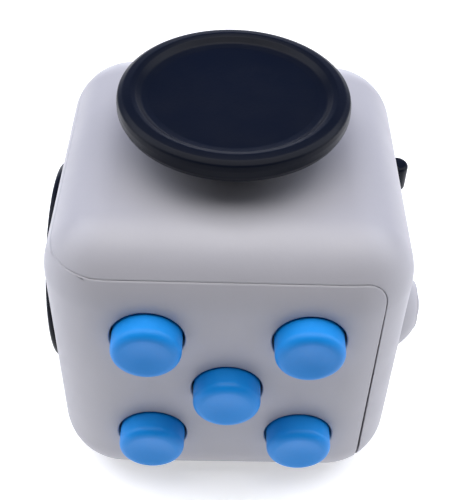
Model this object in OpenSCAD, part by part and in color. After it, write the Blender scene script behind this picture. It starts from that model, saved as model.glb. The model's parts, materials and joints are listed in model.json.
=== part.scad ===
// A desk fidget cube: a rounded hollow case in two halves with a different toy on each face.
// Origin: centre of the flat resting face. +Z up, the button face looks along -Y.
// Each face's mechanism is drawn in its own frame, with z = 0 on the face and +z outward.

/* [Case] */
// Outside width of the cube
cube_w = 33; // [30:0.5:36]
// Radius of the long outside edges
edge_r = 6.2; // [4:0.1:7]
// Wall thickness
wall = 1.8; // [1.5:0.1:2.2]
// Distance of the parting line from the cube's centre
seam_at = 13.45; // [12:0.05:14.5]
// Width of the parting line
seam_gap = 0.12; // [0.05:0.01:0.3]
// Radius where the parting line turns a corner
seam_turn_r = 2.2; // [1:0.1:3]
// Radius of the thumb dish in the resting face
dish_r = 9; // [6:0.5:10]
// Depth of the thumb dish
dish_depth = 1.8; // [1:0.1:2.5]

/* [Buttons] */
// Button radius
button_r = 3.1; // [2.5:0.1:3.5]
// Button hole radius
button_hole_r = 3.3; // [2.7:0.1:3.8]
// Distance of the corner buttons from the face's middle lines
button_off = 7.1; // [6.5:0.1:7.5]
// How far the buttons stand out
button_out = 2.2; // [1.5:0.1:3]
// Radius of a button's rounded rim
button_rim_r = 0.8; // [0.2:0.1:1]

/* [Thumb pad] */
// Thumb pad radius
pad_r = 10.5; // [9:0.1:11.5]
// Height of the pad's rim over the face
pad_top = 5.6; // [4:0.1:6.5]
// Pad stem radius
stem_r = 2.3; // [2:0.1:2.4]
// Radius of the opening that the stem glides in
glide_hole_r = 5.3; // [5.2:0.1:5.5]
// Glide of the pad to each side
glide = 2; // [1:0.1:2]

/* [Dial] */
// Dial radius
dial_r = 10.1; // [8:0.1:11]
// Height of the dial over the face
dial_out = 0.85; // [0.6:0.05:2]
// Dial hub radius
hub_r = 2.6; // [2:0.1:3]

/* [Rocker] */
// Half of the rocker's width
rocker_half_w = 4.4; // [3.5:0.1:5]
// Radius of the rocker's ends about its pin
rocker_r = 8.2; // [7:0.1:8.5]
// Depth of the rocker's pin under the face
rocker_pin_z = -2; // [-2.5:0.1:-1.5]
// Tilt of the rocker to each side
rocker_tilt = 9; // [6:0.5:11]

/* [Rollers and ball] */
// Gear radius over the teeth
gear_r = 4.6; // [4:0.1:5]
// Gear radius between the teeth
gear_root_r = 3.1; // [2.8:0.1:3.6]
// Radius of a tooth's round end
tooth_r = 1.2; // [0.8:0.1:1.3]
// Gear thickness
gear_t = 3.2; // [2.5:0.1:4]
// Distance from one gear to the next
gear_step = 6.6; // [5.5:0.1:6.8]
// Radius of axles and pins
pin_r = 0.8; // [0.6:0.1:1]
// Ball radius
ball_r = 3.2; // [3:0.1:3.4]
// How far the ball's tip stands out
ball_out = 2.9; // [2.6:0.1:3.1]

/* [Screws] */
// Screw shank radius
screw_r = 0.7; // [0.5:0.05:0.8]
// Screw head radius
screw_head_r = 1.3; // [1:0.1:1.5]
// Screw head height
screw_head_h = 0.9; // [0.6:0.1:1]

/* [Hidden] */
$fn = 64;

eps = 0.05;
over = 2;
half = cube_w / 2;
inner_r = edge_r - wall;
under_wall = -wall - 0.05;
far = 60;
shank_room = 0.02;
head_room = 0.15;
boss_grip = 2.6;
boss_hole_deep = 3;
pin_end_room = 0.1;
wall_grip = 1.1;
wall_hole_top = -0.6;

// Thumb dish in the resting face, cut as a cap of a large ball
dish_ball_r = (dish_r * dish_r + dish_depth * dish_depth) / (2 * dish_depth);
dish_skin = 1.4;

// Posts and pins that line the two halves up, inside the left wall
post_places = [[-11.8, -8.9], [-11.8, 8.9]];
post_r = 1.6;
post_hole_r = 0.85;
post_pin_r = 0.8;
post_base = 1.2;
post_top = 26;
post_hole_depth = 6;
post_pin_low = 21;
corner_trim = 11;

// Buttons, in the front face's frame
corners = [[-1, 1], [1, 1], [-1, -1], [1, -1]];
button_places = [for (c = corners) c * button_off];
all_button_places = concat(button_places, [[0, 0]]);
flange_r = 3.7;
flange_top = under_wall;
flange_t = 0.8;
plate_z = -5.2;
plate_t = 1.4;
plate_half = 9.7;
plate_corner_r = 2.2;
plate_boss_off = 7.6;
plate_boss_places = [for (p = [[-1, 0], [1, 0], [0, -1], [0, 1]]) p * plate_boss_off];
boss_r = 1.7;
dome_seat_r = 3.45;
dome_seat_depth = 0.4;
snap_stub = 1.75;
soft_stub = 0.8;
dome_play = 0.05;
dome_floor = plate_z - dome_seat_depth;
stub_r = 1.4;

// Thumb pad: its round rim stands over a flat floor
pad_rim_r = 0.7;
pad_floor_z = pad_top - pad_rim_r;
pad_floor_r = 8;

// Glide, in the top face's frame
carrier_top = -1.9;
carrier_t = 1.3;
carrier_x = 8.2;
carrier_y = 7;
keeper_r = 4.8;
keeper_top = -3.3;
keeper_t = 1;
retainer_top = -4.4;
retainer_t = 1;
retainer_x = 10.6;
retainer_y = 11;
retainer_corner_r = 2;
rail_in = 7.1;
rail_out = 7.6;
glide_boss_x = 7.5;
glide_boss_y = 9.4;
glide_boss_places = [for (x = [-1, 1], y = [-1, 1]) [x * glide_boss_x, y * glide_boss_y]];
glide_boss_r = 1.6;
glide_head_r = 1.6;
glide_grip = 3.2;
glide_head_room = 0.2;
window_half = glide + glide_head_r + glide_head_room;

// Dial, in the left face's frame
dial_gap = 0.2;
dial_bore_r = hub_r + 0.05;
dial_boss_r = 4.6;
dial_boss_end = -3;
hub_end = -3.55;
spigot_r = 1.5;
dial_keeper_r = 4.2;
dial_keeper_t = 0.95;
dial_dish_off = 5.4;
dial_dish_r = 8;
dial_dish_depth = 0.4;
dial_head_r = 1.9;
dial_grip = 3;
dial_tip_room = 0.6;

// Rocker, in the back face's frame
rocker_hole_x = rocker_half_w + 0.3;
rocker_hole_y = rocker_r + 0.15;
frame_z = -5.2;
frame_t = 1;
frame_x = 8;
frame_y = 7;
cheek_in = 4.9;
cheek_out = 6.2;
cheek_y = 2;
leaf_t = 0.2;
leaf_r = 12;
leaf_top = -3.95;
leaf_half_w = 2.5;
leaf_half_l = 4.8;
frame_screw_x = 6.5;
frame_screw_y = 5;
frame_screw_places = [for (s = [-1, 1]) [s * frame_screw_x, -s * frame_screw_y]];
frame_boss_r = 1.5;

// Gears, in the right face's frame
gear_y = 7.2;
axle_z = -2.45;
gear_room = 0.3;
pocket_r = gear_r + 0.35;
pocket_half_t = gear_t / 2 + gear_room;
axle_half = 9.8;
cage_half = 9.9;
cage_low = 2;
cage_high = 12.2;
cage_back = axle_z - pocket_r - 0.9;
cage_ear_x = 0.4;
cage_ear_y = 7.7;
cage_ear_places = [[cage_ear_x, -cage_ear_y], [cage_ear_x, cage_ear_y]];

// Ball, in the right face's frame
ball_y = -5.4;
ball_z = ball_out - ball_r;
socket_r = ball_r + 0.1;
collar_r = 4.9;
collar_z = -2;
collar_top = 2.35;
cup_r = 3.2;
cup_top = -2;
cup_bottom = -4.4;
cup_hole_r = 1.2;
cup_play = 0.08;
cup_end_play = 0.1;
ball_travel = 0.5;
housing_r = 4.4;
housing_step = -6;
spring_pocket_r = 2.4;
spring_floor = -7.4;
housing_end = -8.2;
spring_r = 1.9;
wire_r = 0.25;
spring_turns = 3.5;
housing_neck_r = 3;
ear_y = 6.4;
housing_ear_places = [[ball_y, -ear_y], [ball_y, ear_y]];
ear_t = 1.45;
ear_r = 1.6;
spring_steps = 20;
wire_sides = 8;
wire_room = 0.02;
spring_low = spring_floor + wire_r + wire_room;
spring_high = cup_bottom - wire_r - wire_room;

module on_top() {
  translate([0, 0, cube_w])
    children();
}

module on_front() {
  translate([0, -half, half])
    rotate([90, 0, 0])
      children();
}

module on_left() {
  translate([-half, 0, half])
    rotate([90, 0, -90])
      children();
}

module on_right() {
  translate([half, 0, half])
    rotate([90, 0, 90])
      children();
}

module on_back() {
  translate([0, half, half])
    rotate([90, 0, 180])
      children();
}

module at_each(places) {
  for (p = places)
    translate(p)
      children();
}

module rod(r, z0, z1) {
  translate([0, 0, z0])
    cylinder(r = r, h = z1 - z0);
}

module block(low, high) {
  translate(low)
    cube(high - low);
}

// Square with rounded corners about the origin
module round_square(hx, hy, r) {
  square([2 * hx, 2 * (hy - r)], center = true);
  square([2 * (hx - r), 2 * hy], center = true);
  for (x = [-hx + r, hx - r], y = [-hy + r, hy - r])
    translate([x, y])
      circle(r);
}

// Cube about the origin with round edges, its eight corners eased by one large sphere
module soft_cube(h, r) {
  intersection() {
    linear_extrude(2 * h, center = true)
      round_square(h, h, r);
    rotate([90, 0, 0])
      linear_extrude(2 * h, center = true)
        round_square(h, h, r);
    rotate([0, 90, 0])
      linear_extrude(2 * h, center = true)
        round_square(h, h, r);
    sphere(sqrt(3) * (h - r) + r);
  }
}

// A screw driven along +z: its head's seat is at z
module screw(z, length, head_r = screw_head_r) {
  difference() {
    union() {
      rod(screw_r, z, z + length);
      rod(head_r, z - screw_head_h, z);
    }
    for (a = [0, 90])
      rotate(a)
        block([-0.8, -0.15, z - screw_head_h - eps], [0.8, 0.15, z - 0.45]);
  }
}

// Round boss under a wall, from z up
module boss(r, z) {
  rod(r, z, -wall / 2);
}

// Blind screw hole up into a boss that ends at z
module boss_hole(z) {
  rod(screw_r + shank_room, z - over, z + boss_hole_deep);
}

// Blind screw hole up into the wall itself
module wall_hole() {
  rod(screw_r + shank_room, -wall - over, wall_hole_top);
}

// The region in front of, left of and below the parting line
module seam_region(s, r) {
  for_each_plane()
    linear_extrude(2 * far, center = true) {
      translate([s - r, s - r])
        circle(r);
      translate([s - far, s - far])
        square([far, far - r]);
      translate([s - far, s - far])
        square([far - r, far]);
    }
}

module for_each_plane() {
  intersection() {
    children();
    rotate([90, 0, 90])
      children();
    rotate([90, 0, 0])
      children();
  }
}

module case_wall() {
  difference() {
    soft_cube(half, edge_r);
    soft_cube(half - wall, inner_r);
  }
}

// Front, left and bottom walls
module front_shell() {
  color([0.86, 0.87, 0.9])
  difference() {
    union() {
      translate([0, 0, half])
        intersection() {
          case_wall();
          seam_region(seam_at, seam_turn_r);
        }
      on_front()
        at_each(plate_boss_places)
          boss(boss_r, plate_z);
      on_left()
        rod(dial_boss_r, dial_boss_end, -wall / 2);
      intersection() {
        translate([0, 0, dish_depth - dish_ball_r])
          sphere(dish_ball_r + dish_skin);
        rod(dish_r + 2, wall / 2, wall * 3);
      }
      at_each(post_places)
        rod(post_r, post_base, post_top);
    }
    on_front() {
      at_each(all_button_places)
        rod(button_hole_r, -wall - over, over);
      at_each(plate_boss_places)
        boss_hole(plate_z);
    }
    on_left()
      rod(dial_bore_r, dial_boss_end - over, over);
    translate([0, 0, dish_depth - dish_ball_r])
      sphere(dish_ball_r);
    at_each(post_places)
      rod(post_hole_r, post_top - post_hole_depth, post_top + over);
    // Clears the thin leftover where the parting line crosses the far inner corner
    block([corner_trim, corner_trim, half + corner_trim], [half, half, cube_w]);
  }
}

// Top, right and back walls
module rear_shell() {
  color([0.86, 0.87, 0.9])
  difference() {
    union() {
      translate([0, 0, half])
        difference() {
          case_wall();
          seam_region(seam_at + seam_gap, seam_turn_r + seam_gap);
        }
      on_top()
        at_each(glide_boss_places)
          boss(glide_boss_r, retainer_top);
      on_back()
        at_each(frame_screw_places)
          boss(frame_boss_r, frame_z);
      on_right()
        translate([ball_y, 0])
          intersection() {
            translate([0, 0, collar_z])
              sphere(collar_r);
            rod(collar_r, -wall / 2, collar_top);
          }
      at_each(post_places)
        rod(post_pin_r, post_pin_low, cube_w - wall / 2);
    }
    on_top() {
      rod(glide_hole_r, -wall - over, over);
      at_each(glide_boss_places)
        boss_hole(retainer_top);
    }
    on_back() {
      block([-rocker_hole_x, -rocker_hole_y, -wall - over], [rocker_hole_x, rocker_hole_y, over]);
      translate([0, 0, rocker_pin_z])
        rotate([0, 90, 0])
          rod(pin_r + shank_room, -cheek_out - pin_end_room, cheek_out + pin_end_room);
      at_each(frame_screw_places)
        boss_hole(frame_z);
    }
    on_right() {
      for (i = [-1, 0, 1])
        block(
          [gear_y - pocket_r, i * gear_step - pocket_half_t, -wall - over],
          [gear_y + pocket_r, i * gear_step + pocket_half_t, over]
        );
      translate([gear_y, 0, axle_z])
        rotate([90, 0, 0])
          rod(pin_r + shank_room, -axle_half - pin_end_room, axle_half + pin_end_room);
      translate([ball_y, 0]) {
        translate([0, 0, ball_z])
          sphere(socket_r);
        rod(socket_r, -wall - over, ball_z);
      }
      at_each(concat(housing_ear_places, cage_ear_places))
        wall_hole();
    }
  }
}

// A button: rounded cap, retaining flange behind the wall, and a stub on the dome
module button(stub) {
  top = button_out;
  rod(flange_r, flange_top - flange_t, flange_top);
  rod(stub_r, flange_top - flange_t - stub, flange_top);
  rotate_extrude()
    union() {
      translate([0, flange_top - eps])
        square([button_r, top - button_rim_r - flange_top + eps]);
      square([button_r - button_rim_r, top]);
      translate([button_r - button_rim_r, top - button_rim_r])
        circle(button_rim_r);
    }
}

module button_at(p, stub) {
  color([0.1, 0.4, 0.74])
  on_front()
    translate(p)
      button(stub);
}

module button_top_left() {
  button_at(button_places[0], snap_stub);
}

module button_top_right() {
  button_at(button_places[1], soft_stub);
}

module button_bottom_left() {
  button_at(button_places[2], soft_stub);
}

module button_bottom_right() {
  button_at(button_places[3], snap_stub);
}

module button_centre() {
  button_at([0, 0], snap_stub);
}

// Thin metal snap disc: a shallow dished cone with a flat crown
module snap_dome_at(p) {
  top = flange_top - flange_t - snap_stub - dome_play;
  color([0.75, 0.75, 0.77])
  on_front()
    translate(p)
      rotate_extrude()
        polygon([
          [0, top], [1.5, top], [3.1, dome_floor + 0.2], [3.3, dome_floor + 0.2],
          [3.3, dome_floor], [3, dome_floor], [1.4, top - 0.2], [0, top - 0.2]
        ]);
}

// Silicone bell: a thick crown on a thin sloping skirt
module soft_dome_at(p) {
  top = flange_top - flange_t - soft_stub - dome_play;
  color([0.8, 0.82, 0.8])
  on_front()
    translate(p)
      rotate_extrude()
        polygon([
          [0, top], [1.6, top], [1.9, top - 0.7], [2.8, dome_floor + 0.5], [3.3, dome_floor + 0.5],
          [3.3, dome_floor], [2.5, dome_floor], [1.5, top - 0.9], [0, top - 0.9]
        ]);
}

module snap_dome_top_left() {
  snap_dome_at(button_places[0]);
}

module snap_dome_centre() {
  snap_dome_at([0, 0]);
}

module snap_dome_bottom_right() {
  snap_dome_at(button_places[3]);
}

module soft_dome_top_right() {
  soft_dome_at(button_places[1]);
}

module soft_dome_bottom_left() {
  soft_dome_at(button_places[2]);
}

// Plate behind the buttons, with a seat for each dome
module button_plate() {
  color([0.3, 0.31, 0.33])
  on_front()
    difference() {
      translate([0, 0, plate_z - plate_t])
        linear_extrude(plate_t)
          round_square(plate_half, plate_half, plate_corner_r);
      at_each(all_button_places)
        rod(dome_seat_r, dome_floor, plate_z + over);
      at_each(plate_boss_places)
        rod(screw_r + head_room, plate_z - plate_t - over, plate_z + over);
    }
}

module button_plate_screws() {
  color([0.6, 0.6, 0.62])
  on_front()
    at_each(plate_boss_places)
      screw(plate_z - plate_t, plate_t + boss_grip);
}

// Dished thumb pad on a short stem
module thumb_pad() {
  rim_at = pad_r - pad_rim_r;
  color([0.07, 0.09, 0.15])
  on_top()
    difference() {
      rotate_extrude()
        difference() {
          union() {
            polygon([
              [0, keeper_top], [stem_r, keeper_top], [stem_r, 0.9], [4.2, 1.5], [8, 2.1], [9.5, 2.9],
              [10.2, 3.5], [10.4, 4], [10.4, 5.1], [rim_at + 0.1, 5.5], [0, 5.5]
            ]);
            translate([rim_at, pad_floor_z])
              circle(pad_rim_r);
            translate([rim_at - 0.9, pad_floor_z])
              square([0.9, pad_rim_r]);
          }
          translate([-1, pad_floor_z])
            square([1 + pad_floor_r, over]);
          // Rounds the rim's inner edge
          translate([pad_floor_r, pad_floor_z])
            difference() {
              translate([-0.1, 0])
                square([0.1 + pad_rim_r, 0.1 + pad_rim_r]);
              translate([pad_rim_r, 0])
                circle(pad_rim_r);
            }
        }
      rod(screw_r + shank_room, keeper_top - over, keeper_top + glide_grip + glide_head_room);
    }
}

// Sliding frame: it moves left and right, and the stem moves to and fro in its slot
module glide_carrier() {
  color([0.3, 0.31, 0.33])
  on_top()
    translate([0, 0, carrier_top - carrier_t])
      linear_extrude(carrier_t)
        difference() {
          square([2 * carrier_x, 2 * carrier_y], center = true);
          round_square(stem_r + 0.05, stem_r + glide + 0.1, 1);
        }
}

module glide_keeper() {
  color([0.6, 0.6, 0.62])
  on_top()
    difference() {
      rod(keeper_r, keeper_top - keeper_t, keeper_top);
      rod(screw_r + shank_room, keeper_top - keeper_t - over, keeper_top + over);
    }
}

module glide_screw() {
  color([0.6, 0.6, 0.62])
  on_top()
    screw(keeper_top - keeper_t, keeper_t + glide_grip, glide_head_r);
}

// Soft ring that brings the stem back to the middle
module centring_ring() {
  color([0.25, 0.26, 0.28])
  on_top()
    rotate_extrude()
      polygon([
        [stem_r + 0.05, -0.3], [stem_r + 0.4, -0.3], [4.1, -1], [glide_hole_r - 0.4, -0.7],
        [glide_hole_r - 0.05, -0.7], [glide_hole_r - 0.05, -1.3], [4.1, -1.6], [stem_r + 0.05, -1]
      ]);
}

// Plate that holds the sliding frame up against the wall, with a rail on each side
module glide_retainer() {
  color([0.3, 0.31, 0.33])
  on_top()
    difference() {
      union() {
        translate([0, 0, retainer_top - retainer_t])
          linear_extrude(retainer_t)
            round_square(retainer_x, retainer_y, retainer_corner_r);
        for (s = [-1, 1])
          block(
            [-carrier_x, s > 0 ? rail_in : -rail_out, retainer_top - eps],
            [carrier_x, s > 0 ? rail_out : -rail_in, carrier_top]
          );
      }
      translate([0, 0, retainer_top - retainer_t - over])
        linear_extrude(retainer_t + 2 * over)
          round_square(window_half, window_half, glide_head_r + glide_head_room);
      at_each(glide_boss_places)
        rod(screw_r + head_room, retainer_top - retainer_t - over, retainer_top + over);
    }
}

module glide_retainer_screws() {
  color([0.6, 0.6, 0.62])
  on_top()
    at_each(glide_boss_places)
      screw(retainer_top - retainer_t, retainer_t + boss_grip);
}

// Turning dial with a dished finger rest off its centre and a hub through the wall
module spin_dial() {
  rim_r = (dial_out - dial_gap) / 2;
  color([0.07, 0.09, 0.15])
  on_left()
    difference() {
      rotate_extrude()
        union() {
          translate([0, dial_gap])
            square([dial_r - rim_r, dial_out - dial_gap]);
          translate([dial_r - rim_r, dial_gap + rim_r])
            circle(rim_r);
          translate([0, hub_end])
            square([hub_r, dial_gap + eps - hub_end]);
          translate([0, hub_end - dial_keeper_t])
            square([spigot_r, dial_keeper_t + eps]);
        }
      translate([0, dial_dish_off, dial_out + dial_dish_r - dial_dish_depth])
        sphere(dial_dish_r);
      rod(screw_r + shank_room, hub_end - dial_keeper_t - over, hub_end + dial_grip - dial_tip_room);
    }
}

module dial_keeper() {
  color([0.6, 0.6, 0.62])
  on_left()
    difference() {
      rod(dial_keeper_r, hub_end - dial_keeper_t, hub_end);
      rod(spigot_r + shank_room, hub_end - dial_keeper_t - over, hub_end + over);
    }
}

// Dished spring washer between the wall's boss and the keeper
module dial_spring_washer() {
  color([0.75, 0.75, 0.77])
  on_left()
    rotate_extrude()
      polygon([[hub_r + 0.15, -3.05], [4, -3.28], [4, -3.45], [hub_r + 0.15, -3.22]]);
}

module dial_screw() {
  color([0.6, 0.6, 0.62])
  on_left()
    screw(hub_end - dial_keeper_t, dial_grip, dial_head_r);
}

// Rocker that rests tilted on one stop and snaps over to the other
module flip_rocker() {
  color([0.07, 0.09, 0.15])
  on_back()
    translate([0, 0, rocker_pin_z])
      rotate([rocker_tilt, 0, 0])
        rotate([90, 0, 90])
          difference() {
            linear_extrude(2 * rocker_half_w, center = true)
              intersection() {
                circle(rocker_r);
                union() {
                  polygon([
                    [-9, 2.6 + 9 * tan(rocker_tilt)], [0, 2.6], [9, 2.6 + 9 * tan(rocker_tilt)],
                    [9, 1], [7, 0.4], [2.6, -1.2], [-2.6, -1.2], [-7, 0.4], [-9, 1]
                  ]);
                  translate([0, -1.1])
                    circle(0.75);
                }
              }
            rod(pin_r + 0.05, -9, 9);
          }
}

module flip_pin() {
  color([0.75, 0.75, 0.77])
  on_back()
    translate([0, 0, rocker_pin_z])
      rotate([0, 90, 0])
        rod(pin_r, -cheek_out, cheek_out);
}

// Bowed strip that presses on the rocker's nose
module flip_leaf_spring() {
  color([0.75, 0.75, 0.77])
  on_back()
    translate([0, 0, leaf_top - leaf_r])
      rotate([90, 0, 90])
        linear_extrude(2 * leaf_half_w, center = true)
          intersection() {
            difference() {
              circle(leaf_r);
              circle(leaf_r - leaf_t);
            }
            translate([-leaf_half_l, 0])
              square([2 * leaf_half_l, 2 * leaf_r]);
          }
}

// Frame behind the rocker: base plate and two ears for the pin
module flip_frame() {
  color([0.3, 0.31, 0.33])
  on_back()
    difference() {
      union() {
        translate([0, 0, frame_z - frame_t])
          linear_extrude(frame_t)
            round_square(frame_x, frame_y, 1.5);
        for (s = [-1, 1])
          block(
            [s > 0 ? cheek_in : -cheek_out, -cheek_y, frame_z - eps],
            [s > 0 ? cheek_out : -cheek_in, cheek_y, under_wall]
          );
      }
      translate([0, 0, rocker_pin_z])
        rotate([0, 90, 0])
          rod(pin_r + shank_room, -frame_x, frame_x);
      at_each(frame_screw_places)
        rod(screw_r + head_room, frame_z - frame_t - over, frame_z + over);
    }
}

module flip_frame_screws() {
  color([0.6, 0.6, 0.62])
  on_back()
    at_each(frame_screw_places)
      screw(frame_z - frame_t, frame_t + boss_grip);
}

// Roller with six round teeth; a turn of zero points a tooth outward
module gear_at(place, turn) {
  color([0.07, 0.09, 0.15])
  on_right()
    translate([gear_y, place * gear_step, axle_z])
      rotate([90, 0, 0])
        rotate(90 + turn)
          linear_extrude(gear_t, center = true)
            difference() {
              union() {
                circle(gear_root_r);
                for (i = [0 : 5])
                  rotate(60 * i)
                    translate([gear_r - tooth_r, 0])
                      circle(tooth_r);
              }
              circle(pin_r + 0.05);
            }
}

module gear_upper() {
  gear_at(1, 0);
}

module gear_middle() {
  gear_at(0, 14);
}

module gear_lower() {
  gear_at(-1, -9);
}

module gear_axle() {
  color([0.75, 0.75, 0.77])
  on_right()
    translate([gear_y, 0, axle_z])
      rotate([90, 0, 0])
        rod(pin_r, -axle_half, axle_half);
}

// Cage that holds the axle against the wall, with a pocket for each gear
module gear_cage() {
  color([0.3, 0.31, 0.33])
  on_right()
    difference() {
      union() {
        rotate([90, 0, 0])
          linear_extrude(2 * cage_half, center = true)
            polygon([
              [cage_low, cage_back], [cage_high, cage_back],
              [cage_high, -3], [10.5, under_wall], [cage_low, under_wall]
            ]);
        for (s = [-1, 1])
          translate([cage_ear_x, s * cage_ear_y, under_wall - ear_t])
            linear_extrude(ear_t) {
              circle(ear_r);
              translate([0, -ear_r])
                square([cage_low - cage_ear_x + eps, 2 * ear_r]);
            }
      }
      translate([gear_y, 0, axle_z])
        rotate([90, 0, 0]) {
          for (i = [-1, 0, 1])
            rod(
              pocket_r,
              i * gear_step - pocket_half_t,
              i * gear_step + pocket_half_t
            );
          rod(pin_r + shank_room, -cage_half - over, cage_half + over);
        }
      for (i = [-1, 0, 1])
        block(
          [gear_y - pocket_r, i * gear_step - pocket_half_t, axle_z],
          [gear_y + pocket_r, i * gear_step + pocket_half_t, 0]
        );
      at_each(cage_ear_places)
        rod(screw_r + head_room, under_wall - ear_t - over, 0);
    }
}

module gear_cage_screws() {
  color([0.6, 0.6, 0.62])
  on_right()
    at_each(cage_ear_places)
      screw(under_wall - ear_t, ear_t + wall_grip);
}

module click_ball() {
  color([0.86, 0.87, 0.9])
  on_right()
    translate([ball_y, 0, ball_z])
      sphere(ball_r);
}

// Ring under the ball that carries it in and out
module ball_cup() {
  color([0.3, 0.31, 0.33])
  on_right()
    translate([ball_y, 0])
      difference() {
        rod(cup_r, cup_bottom, cup_top);
        translate([0, 0, ball_z])
          sphere(ball_r + cup_play);
        rod(cup_hole_r, cup_bottom - over, cup_top);
      }
}

// Middle line of the coil, with a ring of wire points about it
function coil_point(i, j) =
  let(
    n = spring_steps * spring_turns,
    a = 360 * i / spring_steps,
    t = 360 * j / wire_sides,
    z = spring_low + (spring_high - spring_low) * i / n,
    r = spring_r + wire_r * cos(t)
  )
  [r * cos(a), r * sin(a), z + wire_r * sin(t)];

// Coil spring under the cup
module click_spring() {
  n = spring_steps * spring_turns;
  points = [for (i = [0 : n], j = [0 : wire_sides - 1]) coil_point(i, j)];
  sides = [
    for (i = [0 : n - 1], j = [0 : wire_sides - 1])
      let(k = (j + 1) % wire_sides)
      [i * wire_sides + j, (i + 1) * wire_sides + j, (i + 1) * wire_sides + k, i * wire_sides + k]
  ];
  first = [[for (j = [0 : wire_sides - 1]) j]];
  last = [[for (j = [wire_sides - 1 : -1 : 0]) n * wire_sides + j]];
  color([0.75, 0.75, 0.77])
  on_right()
    translate([ball_y, 0])
      polyhedron(points, concat(sides, first, last));
}

// Round housing behind the ball, with an ear on each side
module ball_housing() {
  color([0.3, 0.31, 0.33])
  on_right()
    translate([ball_y, 0])
      difference() {
        union() {
          rod(housing_r, housing_step, under_wall);
          rod(housing_neck_r, housing_end, housing_step + eps);
          translate([0, 0, under_wall - ear_t])
            linear_extrude(ear_t) {
              square([2 * ear_r, 2 * ear_y], center = true);
              for (s = [-1, 1])
                translate([0, s * ear_y])
                  circle(ear_r);
            }
        }
        rod(socket_r, cup_bottom - ball_travel - cup_end_play, 0);
        rod(spring_pocket_r, spring_floor, 0);
        for (s = [-1, 1])
          translate([0, s * ear_y])
            rod(screw_r + head_room, under_wall - ear_t - over, 0);
      }
}

module ball_housing_screws() {
  color([0.6, 0.6, 0.62])
  on_right()
    at_each(housing_ear_places)
      screw(under_wall - ear_t, ear_t + wall_grip);
}

front_shell();
rear_shell();
button_top_left();
button_top_right();
button_centre();
button_bottom_left();
button_bottom_right();
snap_dome_top_left();
snap_dome_centre();
snap_dome_bottom_right();
soft_dome_top_right();
soft_dome_bottom_left();
button_plate();
button_plate_screws();
thumb_pad();
glide_carrier();
glide_keeper();
glide_screw();
centring_ring();
glide_retainer();
glide_retainer_screws();
spin_dial();
dial_keeper();
dial_spring_washer();
dial_screw();
flip_rocker();
flip_pin();
flip_leaf_spring();
flip_frame();
flip_frame_screws();
gear_upper();
gear_middle();
gear_lower();
gear_axle();
gear_cage();
gear_cage_screws();
click_ball();
ball_cup();
click_spring();
ball_housing();
ball_housing_screws();
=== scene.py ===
import json
import math

import bmesh
import bpy
from mathutils import Matrix, Vector


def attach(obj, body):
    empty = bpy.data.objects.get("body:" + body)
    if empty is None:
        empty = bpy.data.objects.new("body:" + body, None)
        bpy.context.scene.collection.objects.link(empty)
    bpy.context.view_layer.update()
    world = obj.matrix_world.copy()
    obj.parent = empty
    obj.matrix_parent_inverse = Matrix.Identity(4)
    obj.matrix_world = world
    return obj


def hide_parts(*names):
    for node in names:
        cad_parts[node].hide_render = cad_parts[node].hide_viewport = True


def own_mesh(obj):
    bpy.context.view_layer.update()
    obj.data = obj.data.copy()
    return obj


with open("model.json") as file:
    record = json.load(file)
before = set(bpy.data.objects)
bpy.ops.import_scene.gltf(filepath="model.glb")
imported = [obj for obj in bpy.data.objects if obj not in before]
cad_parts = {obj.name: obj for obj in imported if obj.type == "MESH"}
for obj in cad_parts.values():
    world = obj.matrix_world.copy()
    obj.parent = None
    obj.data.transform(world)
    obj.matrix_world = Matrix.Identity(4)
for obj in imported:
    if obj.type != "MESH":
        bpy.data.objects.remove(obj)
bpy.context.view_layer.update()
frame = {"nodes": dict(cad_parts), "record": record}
nodes = frame["nodes"]

# Shapes are drawn in millimetres and become metres in to_object. Lights, the camera and
# the floor's glow are in metres.
MM = 0.001
WIDTH = 33.0
HALF = WIDTH / 2
EDGE_R = 6.2
WALL = 1.8
TAU = 2 * math.pi
WELD = 0.003
POLE_R = 1e-6
SAME_POINT = 1e-5

# ---------------------------------------------------------------- face frames


def face_matrix(x, y, z, origin):
    m = Matrix((x, y, z)).transposed().to_4x4()
    m.translation = Vector(origin)
    return m


FACES = {
    "top": face_matrix((1, 0, 0), (0, 1, 0), (0, 0, 1), (0, 0, WIDTH)),
    "front": face_matrix((1, 0, 0), (0, 0, 1), (0, -1, 0), (0, -HALF, HALF)),
    "left": face_matrix((0, -1, 0), (0, 0, 1), (-1, 0, 0), (-HALF, 0, HALF)),
    "right": face_matrix((0, 1, 0), (0, 0, 1), (1, 0, 0), (HALF, 0, HALF)),
    "back": face_matrix((-1, 0, 0), (0, 0, 1), (0, 1, 0), (0, HALF, HALF)),
    "bottom": face_matrix((1, 0, 0), (0, -1, 0), (0, 0, -1), (0, 0, 0)),
    "middle": face_matrix((1, 0, 0), (0, 1, 0), (0, 0, 1), (0, 0, HALF)),
}

# ---------------------------------------------------------------- mesh helpers


def to_object(name, bm, place=None):
    """A mesh in millimetres becomes an object in metres, placed on a face."""
    bmesh.ops.recalc_face_normals(bm, faces=bm.faces)
    if place is not None:
        bm.transform(place)
    bm.transform(Matrix.Scale(MM, 4))
    mesh = bpy.data.meshes.new(name)
    bm.to_mesh(mesh)
    bm.free()
    obj = bpy.data.objects.new(name, mesh)
    bpy.context.scene.collection.objects.link(obj)
    return obj


def on_face(face, at=(0, 0, 0), turn=None):
    m = FACES[face] @ Matrix.Translation(Vector(at))
    return m if turn is None else m @ turn


def circle_points(r, n):
    return [(r * math.cos(TAU * i / n), r * math.sin(TAU * i / n)) for i in range(n)]


def arc(cx, cy, r, a0, a1, n):
    """Points on an arc from angle a0 to a1, in degrees."""
    angles = [math.radians(a0 + (a1 - a0) * i / n) for i in range(n + 1)]
    return [(cx + r * math.cos(a), cy + r * math.sin(a)) for a in angles]


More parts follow.
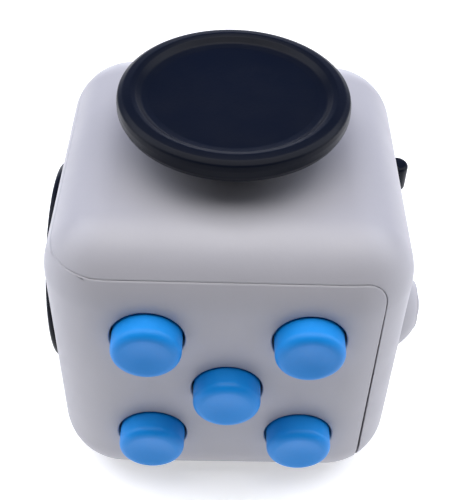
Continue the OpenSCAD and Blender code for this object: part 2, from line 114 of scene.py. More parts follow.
def rounded(path, radii, n=6, closed=False):
    """The path with each corner replaced by an arc of the radius given for it."""
    out = []
    count = len(path)
    for i, (p, r) in enumerate(zip(path, radii)):
        if r <= 0 or (not closed and i in (0, count - 1)):
            out.append(tuple(p))
            continue
        p = Vector(p)
        a = (Vector(path[i - 1]) - p)
        b = (Vector(path[(i + 1) % count]) - p)
        half = a.angle(b) / 2
        reach = min(r / math.tan(half), a.length * 0.499, b.length * 0.499)
        r = reach * math.tan(half)
        a.normalize()
        b.normalize()
        centre = p + (a + b).normalized() * (r / math.sin(half))
        start = p + a * reach - centre
        end = p + b * reach - centre
        sweep = start.angle(end)
        side = 1 if start.x * end.y - start.y * end.x > 0 else -1
        for k in range(n + 1):
            t = side * sweep * k / n
            c, s = math.cos(t), math.sin(t)
            out.append((centre.x + start.x * c - start.y * s,
                        centre.y + start.x * s + start.y * c))
    return out


def revolve(path, segments=128, closed=False):
    """A surface turned about z from (radius, height) points. Points at radius 0 are poles."""
    bm = bmesh.new()
    rings = []
    for r, z in path:
        points = [(0.0, 0.0)] if r < POLE_R else circle_points(r, segments)
        rings.append([bm.verts.new((x, y, z)) for x, y in points])
    pairs = list(zip(rings, rings[1:]))
    if closed:
        pairs.append((rings[-1], rings[0]))
    for a, b in pairs:
        for i in range(segments):
            k = (i + 1) % segments
            if len(a) == 1 and len(b) == 1:
                continue
            if len(a) == 1:
                bm.faces.new((a[0], b[i], b[k]))
            elif len(b) == 1:
                bm.faces.new((a[i], b[0], a[k]))
            else:
                bm.faces.new((a[i], b[i], b[k], a[k]))
    return bm


def loft(rings, closed=False):
    """A skin over rings of equal numbers of points, capped unless it closes on itself."""
    bm = bmesh.new()
    loops = [[bm.verts.new(p) for p in ring] for ring in rings]
    pairs = list(zip(loops, loops[1:]))
    if closed:
        pairs.append((loops[-1], loops[0]))
    count = len(rings[0])
    for a, b in pairs:
        for i in range(count):
            k = (i + 1) % count
            bm.faces.new((a[i], b[i], b[k], a[k]))
    if not closed:
        bm.faces.new(loops[0])
        bm.faces.new(loops[-1])
    return bm


def prism(outline, z0, z1):
    """An outline in x and y, drawn from z0 to z1."""
    bm = bmesh.new()
    low, high = ([bm.verts.new((x, y, z)) for x, y in outline] for z in (z0, z1))
    n = len(outline)
    for i in range(n):
        bm.faces.new((low[i], low[(i + 1) % n], high[(i + 1) % n], high[i]))
    bm.faces.new(low)
    bm.faces.new(high)
    return bm


def soft_box(half, r, n=12, centre=(0, 0, 0), flat=1):
    """A box of half-width half with every edge and corner rounded to radius r."""
    bm = bmesh.new()
    c = half - r
    steps = [(-c, math.tan(-math.pi / 4 * (1 - i / n))) for i in range(n + 1)]
    steps += [(c * (2 * i / flat - 1), 0.0) for i in range(1, flat)]
    steps += [(c, math.tan(math.pi / 4 * i / n)) for i in range(n + 1)]
    for axis in range(3):
        for side in (-1, 1):
            grid = []
            for pu, tu in steps:
                row = []
                for pv, tv in steps:
                    d = Vector((tu, tv, 1)).normalized() * r
                    p = (pu + d.x, pv + d.y, (c + d.z) * side)
                    q = [0, 0, 0]
                    q[axis], q[(axis + 1) % 3], q[(axis + 2) % 3] = p[2], p[0], p[1]
                    row.append(bm.verts.new([q[k] + centre[k] for k in range(3)]))
                grid.append(row)
            for i in range(len(steps) - 1):
                for j in range(len(steps) - 1):
                    near, far = grid[i], grid[i + 1]
                    bm.faces.new((near[j], far[j], far[j + 1], near[j + 1]))
    bmesh.ops.remove_doubles(bm, verts=bm.verts, dist=SAME_POINT)
    return bm


def smooth(obj, angle=35, weighted=True):
    for p in obj.data.polygons:
        p.use_smooth = True
    mesh = obj.data
    bm = bmesh.new()
    bm.from_mesh(mesh)
    limit = math.radians(angle)
    for e in bm.edges:
        e.smooth = not (len(e.link_faces) == 2 and e.calc_face_angle(0) > limit)
    bm.to_mesh(mesh)
    bm.free()
    if weighted:
        m = obj.modifiers.new("normals", "WEIGHTED_NORMAL")
        m.keep_sharp = True
        m.weight = 100
    return obj


def bake_modifiers(obj):
    deps = bpy.context.evaluated_depsgraph_get()
    deps.update()
    mesh = bpy.data.meshes.new_from_object(obj.evaluated_get(deps), depsgraph=deps)
    obj.modifiers.clear()
    old = obj.data
    obj.data = mesh
    bpy.data.meshes.remove(old)
    return obj


def weld(obj):
    """Merges points that lie closer together than a few micrometres."""
    bm = bmesh.new()
    bm.from_mesh(obj.data)
    bmesh.ops.remove_doubles(bm, verts=bm.verts, dist=WELD * MM)
    bmesh.ops.dissolve_degenerate(bm, edges=bm.edges, dist=WELD * MM)
    bm.to_mesh(obj.data)
    bm.free()
    return obj


def combine(obj, tool, operation):
    """Cuts the tool out of obj, joins it on, or keeps what both hold. The tool goes."""
    m = obj.modifiers.new("cut", "BOOLEAN")
    m.operation = operation
    m.solver = "EXACT"
    m.object = tool
    bpy.context.view_layer.update()
    bake_modifiers(obj)
    bpy.data.objects.remove(tool)
    return weld(obj)


def bevel(obj, width, segments, angle=35):
    m = obj.modifiers.new("edges", "BEVEL")
    m.width = width * MM
    m.segments = segments
    m.limit_method = "ANGLE"
    m.angle_limit = math.radians(angle)
    m.use_clamp_overlap = False
    m.harden_normals = False
    return weld(bake_modifiers(obj))


# ---------------------------------------------------------------- materials

BUMP_M = 0.00002


class Graph:
    """Adds nodes to a tree and hands back the socket that each is used for."""

    def __init__(self, tree):
        self.tree = tree

    def node(self, kind, operation=None):
        n = self.tree.nodes.new("ShaderNode" + kind)
        if operation is not None:
            n.operation = operation
        return n

    def link(self, a, b):
        self.tree.links.new(a, b)

    def remap(self, value, low, high, start=0.3, end=0.7):
        m = self.node("MapRange")
        limits = {"From Min": start, "From Max": end, "To Min": low, "To Max": high}
        for key, limit in limits.items():
            m.inputs[key].default_value = limit
        self.link(value, m.inputs["Value"])
        return m.outputs["Result"]

    def split(self, vector):
        s = self.node("SeparateXYZ")
        self.link(vector, s.inputs["Vector"])
        return s.outputs

    def pair(self, kind, operation, a, b):
        """A sum or the like of two sockets, by a Math or VectorMath node."""
        m = self.node(kind, operation)
        self.link(a, m.inputs[0])
        self.link(b, m.inputs[1])
        return m.outputs[0]


class Nodes(Graph):
    """Builds one procedural material on a Principled shader."""

    def __init__(self, name):
        self.material = bpy.data.materials.new(name)
        self.material.use_nodes = True
        super().__init__(self.material.node_tree)
        self.shader = self.tree.nodes["Principled BSDF"]
        self.coords = self.node("TexCoord").outputs["Object"]

    def noise(self, scale, detail=3.0, roughness=0.5, stretch=None):
        n = self.node("TexNoise")
        n.inputs["Scale"].default_value = scale
        n.inputs["Detail"].default_value = detail
        n.inputs["Roughness"].default_value = roughness
        source = self.coords
        if stretch is not None:
            mapping = self.node("Mapping")
            mapping.inputs["Scale"].default_value = stretch
            self.link(source, mapping.inputs["Vector"])
            source = mapping.outputs["Vector"]
        self.link(source, n.inputs["Vector"])
        return n.outputs["Fac"]

    def grain(self, scale):
        v = self.node("TexVoronoi")
        v.inputs["Scale"].default_value = scale
        v.feature = "SMOOTH_F1"
        self.link(self.coords, v.inputs["Vector"])
        return v.outputs["Distance"]

    def ramp(self, value, stops):
        r = self.node("ValToRGB")
        e = r.color_ramp.elements
        while len(e) < len(stops):
            e.new(0.5)
        for slot, (at, colour) in zip(e, stops):
            slot.position = at
            slot.color = (*colour, 1)
        self.link(value, r.inputs["Fac"])
        return r.outputs["Color"]

    def add(self, a, b, share):
        m = self.node("Math", "MULTIPLY_ADD")
        self.link(b, m.inputs[0])
        m.inputs[1].default_value = share
        self.link(a, m.inputs[2])
        return m.outputs["Value"]

    def paint(self, value, stops):
        self.link(self.ramp(value, stops), self.shader.inputs["Base Color"])

    def gloss(self, value, low, high):
        self.link(self.remap(value, low, high), self.shader.inputs["Roughness"])

    def bump(self, height, strength):
        b = self.node("Bump")
        b.inputs["Strength"].default_value = strength
        b.inputs["Distance"].default_value = BUMP_M
        self.link(height, b.inputs["Height"])
        self.link(b.outputs["Normal"], self.shader.inputs["Normal"])

    def set(self, **values):
        for key, value in values.items():
            self.shader.inputs[key.replace("_", " ")].default_value = value


def shade(colour, factor):
    return tuple(min(1.0, c * factor) for c in colour)


def plastic(name, colour, rough, spread=0.03, grain=2600, depth=0.25, **more):
    """Moulded plastic: spark-eroded grain, slight clouding of colour and of gloss."""
    m = Nodes(name)
    cloud = m.noise(90, 2)
    fine = m.noise(grain, 4, 0.6)
    m.paint(m.add(cloud, fine, 0.25),
            [(0.35, shade(colour, 1 - spread)), (0.85, shade(colour, 1 + spread))])
    m.gloss(m.noise(400, 3), rough - 0.04, rough + 0.04)
    m.bump(m.add(fine, m.grain(grain * 1.4), 0.5), depth)
    m.set(**more)
    return m.material


def metal(name, colour, rough, stretch=(1, 1, 14), scale=900):
    """Bright metal with fine drawn lines."""
    m = Nodes(name)
    lines = m.noise(scale, 4, 0.6, stretch)
    m.paint(lines, [(0.3, shade(colour, 0.94)), (0.7, shade(colour, 1.04))])
    m.gloss(lines, rough - 0.05, rough + 0.06)
    m.bump(lines, 0.08)
    m.set(Metallic=1.0)
    return m.material


MATERIALS = {
    "case": plastic("case_plastic", (0.385, 0.38, 0.41), 0.42, 0.02, 2400, 0.18),
    "button": plastic("button_plastic", (0.003, 0.235, 0.68), 0.46, 0.06, 2800, 0.2,
                      Specular_IOR_Level=0.3),
    "soft_black": plastic("soft_touch_black", (0.003, 0.0045, 0.01), 0.38, 0.1, 3000, 0.3,
                          Specular_IOR_Level=0.1),
    "inner_plastic": plastic("inner_plastic", (0.05, 0.052, 0.06), 0.5, 0.08),
    "silicone": plastic("milky_silicone", (0.62, 0.64, 0.62), 0.55, 0.04),
    "dark_silicone": plastic("dark_silicone", (0.02, 0.021, 0.026), 0.55, 0.08),
    "spring_steel": metal("spring_steel", (0.6, 0.6, 0.62), 0.3),
    "screw": metal("zinc_plate", (0.5, 0.5, 0.53), 0.38, (1, 1, 1), 2500),
    "ball": plastic("ball_plastic", (0.4, 0.4, 0.43), 0.36, 0.02, 2400, 0.1),
}

slot_of = {s["node"]: s["material_slot"] for s in frame["record"]["subparts"]}


def dress(obj, slot):
    obj.data.materials.clear()
    obj.data.materials.append(MATERIALS[slot])
    return obj


for node_name, node_obj in nodes.items():
    for material_slot in node_obj.material_slots:
        material_slot.material = MATERIALS[slot_of[node_name]]
    if not node_obj.material_slots:
        node_obj.data.materials.append(MATERIALS[slot_of[node_name]])


def stand_in(obj, slot, body, *replaced):
    dress(obj, slot)
    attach(obj, body)
    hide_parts(*replaced)
    return obj


# ---------------------------------------------------------------- case

SEAM_AT = 13.45
SEAM_TURN_R = 2.2
SEAM_EDGE = 0.13
SEAM_GAP_TOP = 0.012
SEAM_GAP_BOTTOM = 0.26
SEAM_GAP_BACK = 0.05
HOLE_EDGE = 0.16
DISH_EDGE = 0.5
FAR = 22.0
CUTTER_TOP = 3.0
CUTTER_DEPTH = 6.0
MOUTH_STEPS = 4
BUTTON_OFF = 7.1
BUTTON_PLACES = {
    "button_top_left": (-BUTTON_OFF, BUTTON_OFF),
    "button_top_right": (BUTTON_OFF, BUTTON_OFF),
    "button_centre": (0, 0),
    "button_bottom_left": (-BUTTON_OFF, -BUTTON_OFF),
    "button_bottom_right": (BUTTON_OFF, -BUTTON_OFF),
}
BUTTON_HOLE_R = 3.3
DIAL_BORE_R = 2.65
DISH_R = 9.0
DISH_DEPTH = 1.8
DISH_BALL_R = (DISH_R ** 2 + DISH_DEPTH ** 2) / (2 * DISH_DEPTH)
DISH_SKIN = 1.4
DISH_SKIN_REACH = 13.0
DISH_STEPS = 24


def dish_cutter(r, edge=0.0):
    """A cap of the ball whose surface is the thumb dish, its rim rounded by a radius of edge."""
    centre = DISH_DEPTH - DISH_BALL_R
    if edge > 0:
        rim_r = math.sqrt((r + edge) ** 2 - (edge - centre) ** 2)
        top = math.degrees(math.atan2(rim_r, edge - centre))
    else:
        top = math.degrees(math.asin(DISH_SKIN_REACH / r))
    angles = [math.radians(top * i / DISH_STEPS) for i in range(DISH_STEPS + 1)]
    path = [(r * math.sin(a), centre + r * math.cos(a)) for a in angles]
    path[0] = (0.0, path[0][1])
    if edge > 0:
        path += arc(rim_r, edge, edge, 270 - top, 270, MOUTH_STEPS)[1:]
    path += [(path[-1][0], -CUTTER_DEPTH), (0.0, -CUTTER_DEPTH)]
    return revolve(path, 128)


def hollow_case(name):
    shell = to_object(name, soft_box(HALF, EDGE_R, 14, flat=7), FACES["middle"])
    core = to_object("core", soft_box(HALF - WALL, EDGE_R - WALL, 8), FACES["middle"])
    combine(core, to_object("dish_skin", dish_cutter(DISH_BALL_R + DISH_SKIN)), "DIFFERENCE")
    return combine(shell, core, "DIFFERENCE")


def seam_region():
    """Everything in front of, left of and below the parting line."""
    half = (SEAM_AT + FAR) / 2
    c = (SEAM_AT - FAR) / 2
    return soft_box(half, SEAM_TURN_R, 6, (c, c, c))


def open_seam(bm):
    """Moves the region's far sides out by the gap, which widens down the right side."""
    middle = (SEAM_AT - FAR) / 2
    for v in bm.verts:
        x, y, z = v.co
        if x > middle:
            share = (SEAM_AT - z) / WIDTH
            v.co.x += SEAM_GAP_TOP + (SEAM_GAP_BOTTOM - SEAM_GAP_TOP) * share
        if y > middle:
            v.co.y += SEAM_GAP_BACK
        if z > middle:
            v.co.z += SEAM_GAP_TOP
    return bm


def rectangle(hx, hy, r, cx, cy):
    path = [(cx - hx, cy - hy), (cx + hx, cy - hy), (cx + hx, cy + hy), (cx - hx, cy + hy)]
    return rounded(path, [r] * 4, 5, closed=True)


def drill(shell, r, face, at=(0, 0, 0), sides=72):
    """A round hole through a wall, with a rounded mouth."""
    wide = r + HOLE_EDGE
    path = [(0.0, -CUTTER_DEPTH), (r, -CUTTER_DEPTH)]
    path += arc(wide, -HOLE_EDGE, HOLE_EDGE, 180, 90, MOUTH_STEPS)
    path += [(wide, CUTTER_TOP), (0.0, CUTTER_TOP)]
    return combine(shell, to_object("drill", revolve(path, sides), on_face(face, at)), "DIFFERENCE")


def slot(shell, face, hx, hy, r, cx=0.0, cy=0.0, depth=CUTTER_DEPTH):
    """A rectangular hole through a wall, with a rounded mouth."""
    steps = [(0.0, -depth)]
    for x, z in arc(0, 0, HOLE_EDGE, 180, 90, MOUTH_STEPS):
        steps.append((x + HOLE_EDGE, z - HOLE_EDGE))
    steps.append((HOLE_EDGE, CUTTER_TOP))
    rings = []
    for out, z in steps:
        rings.append([(x, y, z) for x, y in rectangle(hx + out, hy + out, r + out, cx, cy)])
    return combine(shell, to_object("slot", loft(rings), on_face(face)), "DIFFERENCE")


def make_front_shell():
    shell = hollow_case("front_case")
    combine(shell, to_object("region", seam_region(), FACES["middle"]), "INTERSECT")
    bevel(shell, SEAM_EDGE, 2)
    for x, y in BUTTON_PLACES.values():
        drill(shell, BUTTON_HOLE_R, "front", (x, y, 0))
    drill(shell, DIAL_BORE_R, "left")
    combine(shell, to_object("dish", dish_cutter(DISH_BALL_R, DISH_EDGE)), "DIFFERENCE")
    smooth(shell)
    return stand_in(shell, "case", "case", "front_shell")


GEAR_Y = 7.2
GEAR_STEP = 6.6
GEAR_T = 3.2
GEAR_R = 4.6
GEAR_ROOM = 0.3
POCKET_R = GEAR_R + 0.35
POCKET_CORNER_R = 0.35
AXLE_Z = -2.45
BALL_Y = -5.4
BALL_R = 3.2
BALL_Z = -0.3
SOCKET_R = 3.3
COLLAR_R = 4.9
COLLAR_Z = -2.0
COLLAR_LIP_Z = 2.24
COLLAR_LIP_H = 0.12
COLLAR_FLARE = 0.35
COLLAR_ROOT_R = COLLAR_R + 0.15
COLLAR_ROOT_Z = -1.7
COLLAR_FOOT_Z = -0.015
COLLAR_HOLE_R = SOCKET_R + 0.3
ROCKER_HOLE = (4.7, 8.35)
ROCKER_HOLE_CORNER_R = 0.3
ROCKER_HOLE_DEPTH = 4.0
STEM_HOLE_R = 5.3


def sphere_r(r, centre, z):
    """Radius of a sphere's section at height z."""
    return math.sqrt(r ** 2 - (z - centre) ** 2)


def collar_path():
    """Domed collar with a flare at its foot, a thin round lip and the ball's socket inside."""
    flare_z = COLLAR_FOOT_Z + COLLAR_FLARE
    flare_x = math.sqrt((COLLAR_R + COLLAR_FLARE) ** 2 - (flare_z - COLLAR_Z) ** 2)
    meet = math.degrees(math.atan2(flare_z - COLLAR_Z, flare_x))
    lip_out = sphere_r(COLLAR_R, COLLAR_Z, COLLAR_LIP_Z)
    lip_in = sphere_r(SOCKET_R, BALL_Z, COLLAR_LIP_Z)
    crest = math.degrees(math.asin((COLLAR_LIP_Z - COLLAR_Z) / COLLAR_R))
    inner = math.degrees(math.asin((COLLAR_LIP_Z - BALL_Z) / SOCKET_R))
    half_lip = (lip_out - lip_in) / 2
    path = [(COLLAR_ROOT_R, COLLAR_ROOT_Z), (COLLAR_ROOT_R, COLLAR_FOOT_Z)]
    path += arc(flare_x, flare_z, COLLAR_FLARE, 270, 180 + meet, 6)
    path += arc(0, COLLAR_Z, COLLAR_R, meet, crest, 22)[1:]
    for x, z in arc(0, 0, 1, 0, 180, 8)[1:-1]:
        path.append((lip_in + half_lip + half_lip * x, COLLAR_LIP_Z + COLLAR_LIP_H * z))
    path += arc(0, BALL_Z, SOCKET_R, inner, 0, 14)
    path.append((SOCKET_R, COLLAR_ROOT_Z))
    return path


def make_rear_shell():
    shell = hollow_case("rear_case")
    combine(shell, to_object("region", open_seam(seam_region()), FACES["middle"]), "DIFFERENCE")
    bevel(shell, SEAM_EDGE, 2)
    for i in (-1, 0, 1):
        slot(shell, "right", POCKET_R, GEAR_T / 2 + GEAR_ROOM, POCKET_CORNER_R,
             GEAR_Y, i * GEAR_STEP)
    slot(shell, "back", *ROCKER_HOLE, ROCKER_HOLE_CORNER_R, depth=ROCKER_HOLE_DEPTH)
    ball_axis = (BALL_Y, 0, 0)
    drill(shell, COLLAR_HOLE_R, "right", ball_axis, 96)
    drill(shell, STEM_HOLE_R, "top", sides=96)
    collar_bm = revolve(collar_path(), 128, closed=True)
    collar = to_object("collar", collar_bm, on_face("right", ball_axis))
    combine(shell, collar, "UNION")
    smooth(shell)
    return stand_in(shell, "case", "case", "rear_shell")


make_front_shell()
make_rear_shell()

# ---------------------------------------------------------------- buttons

BUTTON_R = 3.1
BUTTON_OUT = 2.2
BUTTON_RIM_R = 0.85
BUTTON_DISH_DEPTH = 0.26
BUTTON_DISH_R = 2.0
BUTTON_DISH_STEPS = 9
FLANGE_R = 3.7
FLANGE_TOP = -1.85
FLANGE_BOTTOM = -2.65
STUB_R = 1.4


def button_path(stub):
    """Cap with a dished face and a broad round rim, a flange behind the wall and a stub."""
    crest = BUTTON_R - BUTTON_RIM_R
    face = []
    for i in range(BUTTON_DISH_STEPS):
        r = BUTTON_DISH_R * i / BUTTON_DISH_STEPS
        face.append((r, BUTTON_OUT - BUTTON_DISH_DEPTH * (1 - (r / crest) ** 2) ** 1.5))
    rim = arc(crest, BUTTON_OUT - BUTTON_RIM_R, BUTTON_RIM_R, 96, 0, 12)
    end = FLANGE_BOTTOM - stub
    back = [
        (BUTTON_R, FLANGE_TOP), (FLANGE_R, FLANGE_TOP), (FLANGE_R, FLANGE_BOTTOM),
        (STUB_R, FLANGE_BOTTOM), (STUB_R, end), (0, end),
    ]
    back_radii = [0, 0.08, 0.1, 0.1, 0.1, 0.15, 0]
    return face + rim[:-1] + rounded([rim[-1]] + back, back_radii, 5)


SNAP_STUB = 1.75
SOFT_STUB = 0.8
STUBS = {
    "button_top_left": SNAP_STUB, "button_top_right": SOFT_STUB, "button_centre": SNAP_STUB,
    "button_bottom_left": SOFT_STUB, "button_bottom_right": SNAP_STUB,
}
for button_name, (bx, by) in BUTTON_PLACES.items():
    cap_bm = revolve(button_path(STUBS[button_name]), 96)
    cap = to_object(button_name + "_cap", cap_bm, on_face("front", (bx, by, 0)))
    smooth(cap)
    stand_in(cap, "button", button_name, button_name)

# ---------------------------------------------------------------- thumb pad

STEM_R = 2.3
pad_outline = [
    (0, 4.9), (7.6, 4.9), (8.3, 5.02), (8.8, 5.45), (9.25, 5.6), (9.95, 5.5),
    (10.4, 5.2), (10.5, 4.7), (10.5, 4.05), (10.25, 3.5), (9.5, 2.95), (8, 2.1),
    (4.2, 1.5), (STEM_R, 0.9), (STEM_R, -3.3), (0, -3.3),
]
pad_radii = [0, 1.2, 0.6, 0.4, 0.5, 0.5, 0.35, 0.5, 0.5, 0.5, 0.8, 1, 1, 0.4, 0.1, 0]
pad_bm = revolve(rounded(pad_outline, pad_radii, 6), 160)
pad = to_object("thumb_pad_moulding", pad_bm, on_face("top"))
smooth(pad, 50)
stand_in(pad, "soft_black", "thumb_pad", "thumb_pad")

# ---------------------------------------------------------------- dial

DIAL_R = 10.1
DIAL_DISH_OFF = 5.4
DIAL_DISH_R = 8.0
DIAL_DISH_DEPTH = 0.4
DIAL_OUT = 0.85
DIAL_GAP = 0.2
DIAL_DISH_EASE = 0.35
DIAL_FACE_STEPS = 44
HUB_R = 2.6
HUB_Z = -3.55
TAIL_R = 1.5
TAIL_Z = -4.5


def dial_mesh():
    """A disc with a soft rim, its top pressed in by a finger rest off its centre."""
    edge_path = [(0, DIAL_OUT), (DIAL_R, DIAL_OUT), (DIAL_R, DIAL_GAP), (HUB_R, DIAL_GAP)]
    rim = rounded(edge_path, [0, 0.32, 0.3, 0], 7)
    radii = [DIAL_R * 0.95 * i / DIAL_FACE_STEPS for i in range(DIAL_FACE_STEPS)]
    path = [(r, DIAL_OUT) for r in radii] + rim[1:]
    path += [(HUB_R, HUB_Z), (TAIL_R, HUB_Z), (TAIL_R, TAIL_Z), (0, TAIL_Z)]
    bm = revolve(path, 144)
    ball_up = DIAL_DISH_R - DIAL_DISH_DEPTH
    edge = math.sqrt(DIAL_DISH_R ** 2 - ball_up ** 2)
    outer = edge + DIAL_DISH_EASE
    for v in bm.verts:
        if v.co.z < DIAL_OUT - 0.02:
            continue
        d = math.hypot(v.co.x, v.co.y - DIAL_DISH_OFF)
        if d < outer:
            bowl = ball_up - math.sqrt(max(0.0, DIAL_DISH_R ** 2 - min(d, edge) ** 2))
            t = min(1.0, max(0.0, (outer - d) / (2 * DIAL_DISH_EASE)))
            v.co.z += bowl * t * t * (3 - 2 * t)
    return bm


dial = to_object("dial_moulding", dial_mesh(), on_face("left"))
smooth(dial, 50)
stand_in(dial, "soft_black", "dial", "spin_dial")

# ---------------------------------------------------------------- rocker

ROCKER_R = 8.2
ROCKER_HALF_W = 4.4
ROCKER_TILT = 9.0
ROCKER_PIN_Z = -2.0
ROCKER_VALLEY_Z = 2.6
ROCKER_REACH = 7.7
ROCKER_END_LOW = 0.75
NOSE_R = 0.75
NOSE_Z = -1.1


def rocker_outline():
    """Side profile about the pin: two faces in a shallow valley, round ends, a nose below."""
    t = math.tan(math.radians(ROCKER_TILT))
    a = math.degrees(math.asin((ROCKER_VALLEY_Z + ROCKER_REACH * t) / ROCKER_R))
    b = math.degrees(math.asin(ROCKER_END_LOW / ROCKER_R))
    end = arc(0, 0, ROCKER_R, b, a, 8)
    other = [(-x, y) for x, y in reversed(end)]
    nose = arc(0, NOSE_Z, NOSE_R, 180, 360, 10)
    left, right = [(-7, 0.4), (-2.6, -1.2)], [(2.6, -1.2), (7, 0.4)]
    return end + [(0, ROCKER_VALLEY_Z)] + other + left + nose + right


side_turn = Matrix.Rotation(math.radians(ROCKER_TILT), 4, "X") @ Matrix(
    ((0, 0, 1, 0), (1, 0, 0, 0), (0, 1, 0, 0), (0, 0, 0, 1)))
rocker = to_object(
    "rocker_moulding",
    prism(rocker_outline(), -ROCKER_HALF_W, ROCKER_HALF_W),
    on_face("back", (0, 0, ROCKER_PIN_Z), side_turn),
)
bevel(rocker, 0.3, 4, 25)
smooth(rocker, 40)
stand_in(rocker, "soft_black", "rocker", "flip_rocker")

# ---------------------------------------------------------------- gears

GEAR_ROOT_R = 3.1
TOOTH_R = 1.2
TOOTH_FILLET = 0.3
TEETH = 6
GEAR_EDGE = 0.4
GEAR_BORE_R = 0.85
GEAR_EDGE_STEPS = 5


def gear_outline(turn, inset):
    """Round teeth that run into the root through small fillets, moved in by the inset."""
    lobe = GEAR_R - TOOTH_R
    a = GEAR_ROOT_R + TOOTH_FILLET
    b = TOOTH_R + TOOTH_FILLET
    swing = math.acos((a * a + lobe * lobe - b * b) / (2 * a * lobe))
    fx, fy = a * math.cos(swing), a * math.sin(swing)
    flank = math.degrees(math.atan2(fy, fx - lobe))
    back = math.degrees(swing) + 180
    half = arc(lobe, 0, TOOTH_R - inset, 0, flank, 12)
    half += arc(fx, fy, TOOTH_FILLET + inset, flank + 180, back, 4)[1:]
    half += arc(0, 0, GEAR_ROOT_R - inset, math.degrees(swing), 180 / TEETH, 2)[1:]
    tooth = [(x, -y) for x, y in reversed(half[1:])] + half[:-1]
    points = []
    for i in range(TEETH):
        t = TAU * i / TEETH + math.radians(turn)
        c, s = math.cos(t), math.sin(t)
        points += [(x * c - y * s, x * s + y * c) for x, y in tooth]
    return points


def gear_mesh(turn):
    """A lobed disc with rounded edges and a bore."""
    rings = []
    for side in (-1, 1):
        steps = range(GEAR_EDGE_STEPS + 1)
        rounding = []
        for i in steps if side < 0 else reversed(steps):
            t = math.radians(90 * i / GEAR_EDGE_STEPS)
            z = side * (GEAR_T / 2 - GEAR_EDGE + GEAR_EDGE * math.cos(t))
            outline = gear_outline(turn, GEAR_EDGE * (1 - math.sin(t)))
            rounding.append([(x, y, z) for x, y in outline])
        flat = rounding[0] if side < 0 else rounding[-1]
        bore = []
        for x, y, z in flat:
            d = GEAR_BORE_R / math.hypot(x, y)
            bore.append((x * d, y * d, z))
        rings += [bore] + rounding if side < 0 else rounding + [bore]
    return loft(rings, closed=True)


gear_turn = Matrix.Rotation(math.radians(90), 4, "X")
GEARS = (("gear_upper", 1, 0), ("gear_middle", 0, 14), ("gear_lower", -1, -9))
for gear_name, row, turn in GEARS:
    place_on = on_face("right", (GEAR_Y, row * GEAR_STEP, AXLE_Z), gear_turn)
    gear = to_object(gear_name + "_moulding", gear_mesh(90 + turn), place_on)
    smooth(gear, 40)
    stand_in(gear, "soft_black", gear_name, gear_name)

# ---------------------------------------------------------------- ball

BALL_STEPS = 48
ball_angles = [math.pi * i / BALL_STEPS for i in range(BALL_STEPS + 1)]
ball_path = [(BALL_R * math.sin(a), BALL_R * math.cos(a)) for a in ball_angles]
ball_path[0], ball_path[-1] = (0, BALL_R), (0, -BALL_R)
ball = to_object("ball_moulding", revolve(ball_path, 96), on_face("right", (BALL_Y, 0, BALL_Z)))
smooth(ball, 60, weighted=False)
stand_in(ball, "ball", "ball", "click_ball")

# ---------------------------------------------------------------- springs inside

DOME_FLOOR = -5.6
DOME_PLAY = 0.05
SNAP_DOME_T = 0.2
SOFT_FOOT_T = 0.5
SOFT_CROWN_T = 0.9


def snap_dome_path(top):
    """Thin sprung disc with a flat crown and a foot."""
    low, under = DOME_FLOOR + SNAP_DOME_T, top - SNAP_DOME_T
    path = [(0, top), (1.5, top), (3.1, low), (3.3, low), (3.3, DOME_FLOOR),
            (3, DOME_FLOOR), (1.4, under), (0, under)]
    return rounded(path, [0, 0.5, 0.2, 0.08, 0.08, 0.3, 0.5, 0], 5)


def soft_dome_path(top):
    """Rubber bell: a thick crown, a thin sloping skirt and a foot."""
    low, under = DOME_FLOOR + SOFT_FOOT_T, top - SOFT_CROWN_T
    path = [(0, top), (1.6, top), (1.9, top - 0.7), (2.8, low), (3.3, low),
            (3.3, DOME_FLOOR), (2.5, DOME_FLOOR), (1.5, under), (0, under)]
    return rounded(path, [0, 0.3, 0.3, 0.3, 0.12, 0.1, 0.2, 0.2, 0], 5)


for button_name, (bx, by) in BUTTON_PLACES.items():
    stub = STUBS[button_name]
    crown = FLANGE_BOTTOM - stub - DOME_PLAY
    snap = stub == SNAP_STUB
    kind = "snap_dome" if snap else "soft_dome"
    path = snap_dome_path(crown) if snap else soft_dome_path(crown)
    dome_node = button_name.replace("button", kind)
    dome = to_object(dome_node + "_sprung", revolve(path, 64), on_face("front", (bx, by, 0)))
    smooth(dome, 40)
    stand_in(dome, "spring_steel" if snap else "silicone", "case", dome_node)
    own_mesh(dome)

SPRING_R = 1.9
WIRE_R = 0.25
SPRING_TURNS = 3.5
SPRING_FLOOR = -7.4
CUP_BOTTOM = -4.4
SPRING_END_PLAY = 0.02
STEPS_A_TURN = 32


def spring_mesh():
    """A coil spring: a ring of wire swept up a helix."""
    low = SPRING_FLOOR + WIRE_R + SPRING_END_PLAY
    high = CUP_BOTTOM - WIRE_R - SPRING_END_PLAY
    steps = int(STEPS_A_TURN * SPRING_TURNS)
    rings = []
    for i in range(steps + 1):
        a = TAU * SPRING_TURNS * i / steps
        z = low + (high - low) * i / steps
        ring = []
        for x, y in circle_points(WIRE_R, 12):
            r = SPRING_R + x
            ring.append((r * math.cos(a), r * math.sin(a), z + y))
        rings.append(ring)
    return loft(rings)


spring = to_object("click_spring_coil", spring_mesh(), on_face("right", (BALL_Y, 0, 0)))
smooth(spring, 50)
stand_in(spring, "spring_steel", "case", "click_spring")
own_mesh(spring)

# ---------------------------------------------------------------- studio

FLOOR = 6000.0
FLOOR_DROP = 0.01
GLOW_REACH_M = 0.4
FLOOR_GLOW = ((0.055, 0.42), (0.12, 0.38), (0.3, 0.3), (0.7, 0.95))
PAPER_DARK, PAPER_PALE = (0.9, 0.9, 0.905), (0.93, 0.93, 0.935)

floor_bm = bmesh.new()
corners = ((-1, -1), (1, -1), (1, 1), (-1, 1))
floor_bm.faces.new([floor_bm.verts.new((x * FLOOR, y * FLOOR, 0)) for x, y in corners])
floor = to_object("floor", floor_bm, Matrix.Translation((0, 0, -FLOOR_DROP)))

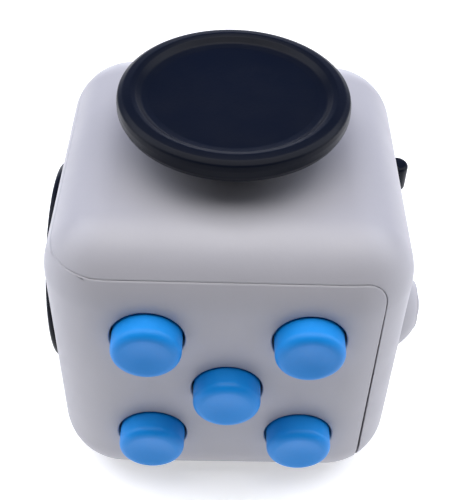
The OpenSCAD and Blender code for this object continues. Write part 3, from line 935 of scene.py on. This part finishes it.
# The floor glows a little so that it comes out white, less so close in front of the cube.
paper = Nodes("floor_paper")
paper.paint(paper.noise(300, 3), [(0.3, PAPER_DARK), (0.7, PAPER_PALE)])
away = paper.node("VectorMath", "LENGTH")
paper.link(paper.coords, away.inputs[0])
near_to_far = paper.remap(away.outputs["Value"], 0.0, 1.0, 0.0, GLOW_REACH_M)
glow = paper.ramp(near_to_far, [(at, (strength,) * 3) for at, strength in FLOOR_GLOW])
floor_y = paper.split(paper.coords)["Y"]
ahead = paper.remap(floor_y, 0.15, 1.0, -0.075, -0.035)
beyond = paper.remap(floor_y, 1.0, 0.0, -0.3, -0.15)
hold = paper.pair("Math", "MAXIMUM", ahead, beyond)
dimmed = paper.pair("Math", "MULTIPLY", glow, hold)
paper.link(dimmed, paper.shader.inputs["Emission Strength"])
paper.set(Roughness=0.9, Emission_Color=(1, 1, 1, 1))
floor.data.materials.append(paper.material)

# A blue room that darkens towards the front, pale at the horizon and below it.
ROOM_BLUE = (0.04, 0.1, 0.36)
world = bpy.data.worlds.new("studio")
world.use_nodes = True
sky = Graph(world.node_tree)
direction = sky.split(sky.node("TexCoord").outputs["Generated"])
blue = sky.node("VectorMath", "SCALE")
blue.inputs[0].default_value = ROOM_BLUE
sky.link(sky.remap(direction["Y"], 0.0, 1.0, -0.2, 0.6), blue.inputs["Scale"])
haze = sky.remap(direction["Z"], 0.6, 0.0, 0.01, 0.06)
room = sky.pair("VectorMath", "ADD", blue.outputs["Vector"], haze)
sky.link(room, sky.tree.nodes["Background"].inputs["Color"])
bpy.context.scene.world = world

CENTRE = Vector((0, 0, HALF * MM))
WHITE, COOL, WARM = (1, 1, 1), (0.95, 0.98, 1.06), (1.0, 0.975, 0.95)


def area_light(name, place, size, power, colour=WHITE):
    """A soft rectangular light aimed at the cube's centre. Its place and size are in metres."""
    data = bpy.data.lights.new(name, "AREA")
    data.shape = "RECTANGLE"
    data.size, data.size_y = size
    data.energy = power
    data.color = colour
    light = bpy.data.objects.new(name, data)
    bpy.context.scene.collection.objects.link(light)
    light.location = place
    light.rotation_euler = (CENTRE - Vector(place)).to_track_quat("-Z", "Y").to_euler()
    return light


HIGH = Vector((0.68, 0.18, 0.66)) * 0.32
LOW = Vector((0.16, 0.0, 0.09))
for hand, mirror in (("left", Vector((-1, 1, 1))), ("right", Vector((1, 1, 1)))):
    area_light(hand + "_high_softbox", HIGH * mirror + CENTRE, (0.22, 0.18), 0.36, COOL)
    area_light(hand + "_low_softbox", LOW * mirror, (0.1, 0.1), 0.055)
area_light("top_softbox", (0.0, -0.005, 0.33), (0.4, 0.26), 1.08, WARM)
area_light("back_softbox", (0.0, 0.3, 0.04), (0.3, 0.1), 0.2)

# ---------------------------------------------------------------- camera

CAMERA_AT = Vector((-0.63, -68.30, 69.91 + HALF)) * MM
YAW, PITCH, ROLL = math.radians(2.99), math.radians(43.99), math.radians(3.50)
SENSOR_MM = 36.0
LENS_MM = 66.6576
LENS_SHIFT = (-0.0474, -0.0272)

forward = Vector((
    math.sin(YAW) * math.cos(PITCH), math.cos(YAW) * math.cos(PITCH), -math.sin(PITCH)))
right = forward.cross(Vector((0, 0, 1))).normalized()
up = right.cross(forward)
side = right * math.cos(ROLL) + up * math.sin(ROLL)
rise = up * math.cos(ROLL) - right * math.sin(ROLL)
pose = Matrix((side, rise, -forward)).transposed().to_4x4()
pose.translation = CAMERA_AT
lens = bpy.data.cameras.new("camera")
lens.sensor_width = SENSOR_MM
lens.lens = LENS_MM
lens.shift_x, lens.shift_y = LENS_SHIFT
lens.clip_start = 0.001
lens.clip_end = 10
camera = bpy.data.objects.new("camera", lens)
bpy.context.scene.collection.objects.link(camera)
camera.matrix_world = pose
bpy.context.scene.camera = camera
bpy.context.scene.view_settings.view_transform = "Standard"
